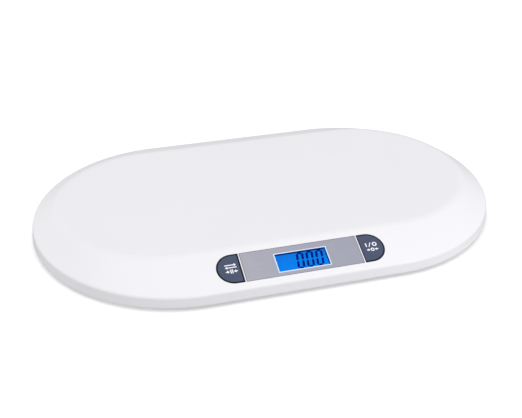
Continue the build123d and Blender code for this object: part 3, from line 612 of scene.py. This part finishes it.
# ---- pieces that CAD leaves to the looks ----

def thin_plate(builder, outline, low, high):
    """Adds a flat closed plate with this outline between two heights."""
    bottom = [builder.verts.new((x, y, low)) for x, y in outline]
    top = [builder.verts.new((x, y, high)) for x, y in outline]
    builder.faces.new(list(reversed(bottom)))
    builder.faces.new(top)
    for index in range(len(outline)):
        after = (index + 1) % len(outline)
        builder.faces.new((bottom[index], bottom[after], top[after], top[index]))


def ring_plate(builder, centre, outer, inner, low, high, steps=40):
    """Adds a flat closed ring between two heights."""
    loops = []
    for index in range(steps):
        angle = 2 * math.pi * index / steps
        direction = Vector((math.cos(angle), math.sin(angle)))
        corners = []
        for radius, height in ((outer, low), (outer, high), (inner, high), (inner, low)):
            point = Vector(centre) + direction * radius
            corners.append(builder.verts.new((point.x, point.y, height)))
        loops.append(corners)
    for index in range(steps):
        here = loops[index]
        after = loops[(index + 1) % steps]
        for side in range(4):
            beside = (side + 1) % 4
            builder.faces.new((here[side], here[beside], after[beside], after[side]))


def finished(name, builder, paints, body, place=STRIP):
    """Turns a mesh under construction into a piece that rides on a body."""
    bmesh.ops.recalc_face_normals(builder, faces=builder.faces)
    mesh = bpy.data.meshes.new(name)
    builder.to_mesh(mesh)
    builder.free()
    for paint in paints:
        mesh.materials.append(paint)
    mesh.transform(place)
    piece = bpy.data.objects.new(name, mesh)
    bpy.context.scene.collection.objects.link(piece)
    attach(piece, body)


def rectangle_corners(half_length, half_height, middle, height):
    """Corners of a level rectangle on the strip, about a middle height."""
    return [(x * half_length, middle + y * half_height, height) for x, y in SQUARE]


BEZEL_WIDTH = 1.15 * MM
BEZEL_BEVEL = 0.2 * MM
BEZEL_RISE = 0.13 * MM         # above the fascia
BEZEL_INNER_BEVEL = 0.1 * MM
BEZEL_WALL = 0.05 * MM         # how far the inner wall stands inside the opening
WALL_FACE = 3                  # place of the inner wall among the profile's faces


def window_bezel():
    """Pale raised border round the window, with an inner wall down to the pane coloured dark navy as
    painted shade.
    """
    builder = bmesh.new()
    half_length = OPENING_HIGH.x
    half_height = (OPENING_HIGH.y - OPENING_LOW.y) / 2
    middle = (OPENING_HIGH.y + OPENING_LOW.y) / 2
    foot = FASCIA_HIGH.z + 0.02 * MM
    rim = FASCIA_HIGH.z + BEZEL_RISE
    wall_foot = PANE_HIGH.z + 0.03 * MM
    wall_back = -0.01 * MM
    profile = (
        (BEZEL_WIDTH, foot),
        (BEZEL_WIDTH - BEZEL_BEVEL, rim),
        (BEZEL_INNER_BEVEL, rim),
        (-BEZEL_WALL, rim - BEZEL_INNER_BEVEL),
        (-BEZEL_WALL, wall_foot),
        (wall_back, wall_foot),
        (wall_back, foot),
    )
    rings = []
    for outward, height in profile:
        corners = rectangle_corners(half_length + outward, half_height + outward, middle, height)
        rings.append([builder.verts.new(corner) for corner in corners])
    for index, ring in enumerate(rings):
        after = rings[(index + 1) % len(rings)]
        for side in range(4):
            beside = (side + 1) % 4
            face = builder.faces.new((ring[side], ring[beside], after[beside], after[side]))
            face.material_index = 1 if index == WALL_FACE else 0
    pale = printed("bezel_pale", (0.62, 0.76, 0.98), 0.35)
    # painted shade: the inner wall's near-black navy stands for the shadow line at the window's edge
    painted_wall_shade = printed("bezel_wall_shade", (0.004, 0.008, 0.05), 0.5)
    finished("window_bezel", builder, (pale, painted_wall_shade), BODY)


DIGIT_WIDTH = 8.6 * MM
DIGIT_HEIGHT = 21.6 * MM
DIGIT_PITCH = 11.0 * MM
DIGIT_STROKE = 2.6 * MM
DIGIT_GAP = 0.3 * MM
DIGIT_SLANT = math.tan(math.radians(8))
DIGIT_COUNT = 3
DIGITS_MIDDLE_U = 9.2 * MM
DIGITS_RAISED = 0.5 * MM       # above the middle of the opening
DIGIT_THICKNESS = 0.06 * MM
DIGIT_CLEARANCE = 0.04 * MM    # above the glass
POINT_HALF = 0.7 * MM          # half the side of the decimal point


def upright_segment(x, low, high):
    """Pointed segment of a digit that runs upwards."""
    half = DIGIT_STROKE / 2
    right = [(x, low), (x + half, low + half), (x + half, high - half)]
    left = [(x, high), (x - half, high - half), (x - half, low + half)]
    return right + left


def level_segment(y, left, right):
    """Pointed segment of a digit that runs across."""
    return [(across, along) for along, across in upright_segment(y, left, right)]


def zero_segments():
    """Outlines of the six lit segments of a zero, about its middle."""
    side = (DIGIT_WIDTH - DIGIT_STROKE) / 2
    top = (DIGIT_HEIGHT - DIGIT_STROKE) / 2
    outlines = []
    for x in (-side, side):
        outlines.append(upright_segment(x, DIGIT_GAP, top - DIGIT_GAP))
        outlines.append(upright_segment(x, -top + DIGIT_GAP, -DIGIT_GAP))
    for y in (-top, top):
        outlines.append(level_segment(y, -side + DIGIT_GAP, side - DIGIT_GAP))
    return outlines


def lcd_digits():
    """Three dark zeros on the lit glass, and a decimal point after the first."""
    ink = lcd_ink()
    low = LCD_HIGH.z + DIGIT_CLEARANCE
    high = low + DIGIT_THICKNESS
    middle_v = (OPENING_HIGH.y + OPENING_LOW.y) / 2 + DIGITS_RAISED
    for index in range(DIGIT_COUNT):
        builder = bmesh.new()
        centre_u = DIGITS_MIDDLE_U + (index - (DIGIT_COUNT - 1) / 2) * DIGIT_PITCH
        for outline in zero_segments():
            slanted = [(centre_u + x + y * DIGIT_SLANT, middle_v + y) for x, y in outline]
            thin_plate(builder, slanted, low, high)
        if index == 0:
            point_v = middle_v - (DIGIT_HEIGHT - DIGIT_STROKE) / 2
            point_u = centre_u + DIGIT_PITCH / 2 - (DIGIT_HEIGHT / 2) * DIGIT_SLANT
            point = [(point_u + x * POINT_HALF, point_v + y * POINT_HALF) for x, y in SQUARE]
            thin_plate(builder, point, low, high)
        finished("lcd_digit_" + str(index + 1), builder, (ink,), BODY)


def bar(start, end, width):
    """Outline of a straight stroke with square ends."""
    first, last = Vector(start), Vector(end)
    along = (last - first).normalized()
    side = Vector((-along.y, along.x)) * width / 2
    return [tuple(first - side), tuple(last - side), tuple(last + side), tuple(first + side)]


HEAD_SPREAD = 0.75             # half the width of an arrow's head, as a share of its length


def arrow_outline(tail, tip, width, head):
    """Outline of an arrow with a solid head."""
    first, last = Vector(tail), Vector(tip)
    along = (last - first).normalized()
    side = Vector((-along.y, along.x))
    shaft = side * width / 2
    barb = side * head * HEAD_SPREAD
    neck = last - along * head
    points = (first - shaft, neck - shaft, neck - barb, last, neck + barb, neck + shaft, first + shaft)
    return [tuple(point) for point in points]


BOLD_STROKE = 1.1              # strokes of the marks, in millimetres before they are enlarged
STROKE = 0.99
SLASH_STROKE = 0.88
MARK_SIZE = 1.15               # enlargement of both marks
MARK_THICKNESS = 0.04 * MM
MARK_CLEARANCE = 0.01 * MM     # above the face of the key
LEFT_MARK_INWARD = 2.4 * MM    # from the middle of its key towards the fascia
RIGHT_MARK_INWARD = 0.9 * MM


def key_mark(name, body, ink, centre, outlines, rings):
    """Printed mark on a key, from outlines and rings in millimetres about a centre."""
    builder = bmesh.new()
    low = KEY_HIGH.z + MARK_CLEARANCE
    high = low + MARK_THICKNESS
    unit = MARK_SIZE * MM
    for outline in outlines:
        points = [(centre.x + x * unit, centre.y + y * unit) for x, y in outline]
        thin_plate(builder, points, low, high)
    for x, y, outer, inner in rings:
        ring_centre = (centre.x + x * unit, centre.y + y * unit)
        ring_plate(builder, ring_centre, outer * unit, inner * unit, low, high)
    finished(name, builder, (ink,), body)


def key_marks():
    """Power and zero marks on the right key, swap and hold marks on the left one."""
    ink = printed("key_mark_white", (0.86, 0.87, 0.90), 0.45)
    middle_u = (KEY_LOW.x + KEY_HIGH.x) / 2
    power = [bar((-4.9, 0.9), (-4.9, 5.3), BOLD_STROKE), bar((-2.5, 0.7), (-0.1, 5.5), SLASH_STROKE)]
    zero = [arrow_outline((side * 5.9, -2.7), (side * 2.3, -2.7), STROKE, 2.0) for side in (-1, 1)]
    rings = [(3.6, 3.1, 2.4, 1.3), (0.0, -2.7, 1.9, 0.9)]
    right_centre = Vector((middle_u - RIGHT_MARK_INWARD, 0))
    key_mark("right_key_mark", "right_button", ink, right_centre, power + zero, rings)
    swap = [
        arrow_outline((-5.6, 4.4), (5.6, 4.4), STROKE, 2.2),
        arrow_outline((5.6, 1.6), (-5.6, 1.6), STROKE, 2.2),
    ]
    hold = [arrow_outline((side * 5.8, -2.8), (side * 1.9, -2.8), STROKE, 2.3) for side in (-1, 1)]
    hold += [bar((side * 0.85, -5.0), (side * 0.85, -0.6), STROKE) for side in (-1, 1)]
    left_centre = Vector((LEFT_MARK_INWARD - middle_u, 0))
    key_mark("left_key_mark", "left_button", ink, left_centre, swap + hold, [])


LABEL_LENGTH = 103.0 * MM
LABEL_WIDTH = 51.0 * MM
LABEL_CORNER = 3.0 * MM
LABEL_Y = 42.0 * MM
LABEL_THICKNESS = 0.2 * MM
LABEL_ABOVE_COLLARS = 1.15 * MM    # from the base cover's lowest face up to the face of the label
BORDER_INSET = 3.0 * MM
RULE_FROM_MIDDLE = 7.5 * MM


def rounded_outline(half_length, half_width, corner, steps=6):
    """Outline of a rectangle with round corners, anticlockwise."""
    points = []
    for quarter, (x, y) in enumerate(((1, 1), (-1, 1), (-1, -1), (1, -1))):
        for step in range(steps + 1):
            angle = (quarter + step / steps) * math.pi / 2
            points.append((
                x * (half_length - corner) + corner * math.cos(angle),
                y * (half_width - corner) + corner * math.sin(angle),
            ))
    return points


def label_film():
    """Pale satin film with a printed border and two ruled lines."""
    paint, shader = new_material("label_film")
    place = node(paint, "ShaderNodeTexCoord")
    split = node(paint, "ShaderNodeSeparateXYZ")
    feed(paint, place.outputs["Object"], split.inputs["Vector"])
    across = maths(paint, "ABSOLUTE", split.outputs["X"])
    upward = maths(paint, "ABSOLUTE", maths(paint, "SUBTRACT", split.outputs["Y"], LABEL_Y))
    from_end = maths(paint, "SUBTRACT", LABEL_LENGTH / 2, across)
    from_side = maths(paint, "SUBTRACT", LABEL_WIDTH / 2, upward)
    from_edge = maths(paint, "MINIMUM", from_end, from_side)
    off_border = maths(paint, "ABSOLUTE", maths(paint, "SUBTRACT", from_edge, BORDER_INSET))
    off_rule = maths(paint, "ABSOLUTE", maths(paint, "SUBTRACT", upward, RULE_FROM_MIDDLE))
    inside = maths(paint, "GREATER_THAN", from_edge, BORDER_INSET)
    rule = maths(paint, "MULTIPLY", spread(paint, off_rule, 1, 0, 0.12 * MM, 0.2 * MM), inside)
    border = spread(paint, off_border, 1, 0, 0.25 * MM, 0.35 * MM)
    lines = maths(paint, "MAXIMUM", rule, border)
    vector = coordinates(paint)
    plain = clouded(paint, vector, (0.66, 0.67, 0.69), 0.04, 30.0)
    feed(paint, blend_colour(paint, lines, plain, (0.10, 0.11, 0.13)), shader.inputs["Base Color"])
    feed(paint, spread(paint, noise(paint, vector, 60.0, 4.0), 0.28, 0.38), shader.inputs["Roughness"])
    return paint


def underside_label():
    """Plain film in the shallow recess under the base cover."""
    builder = bmesh.new()
    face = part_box("base_cover")[0].z + LABEL_ABOVE_COLLARS
    outline = rounded_outline(LABEL_LENGTH / 2, LABEL_WIDTH / 2, LABEL_CORNER)
    moved = [(x, y + LABEL_Y) for x, y in outline]
    thin_plate(builder, moved, face, face + LABEL_THICKNESS)
    finished("underside_label", builder, (label_film(),), BODY, Matrix.Identity(4))


dress_nodes()
window_bezel()
lcd_digits()
key_marks()
underside_label()

add_camera()
add_world()
for light in LIGHTS:
    add_softbox(*light)
add_floor()
bpy.context.scene.view_settings.view_transform = "Standard"
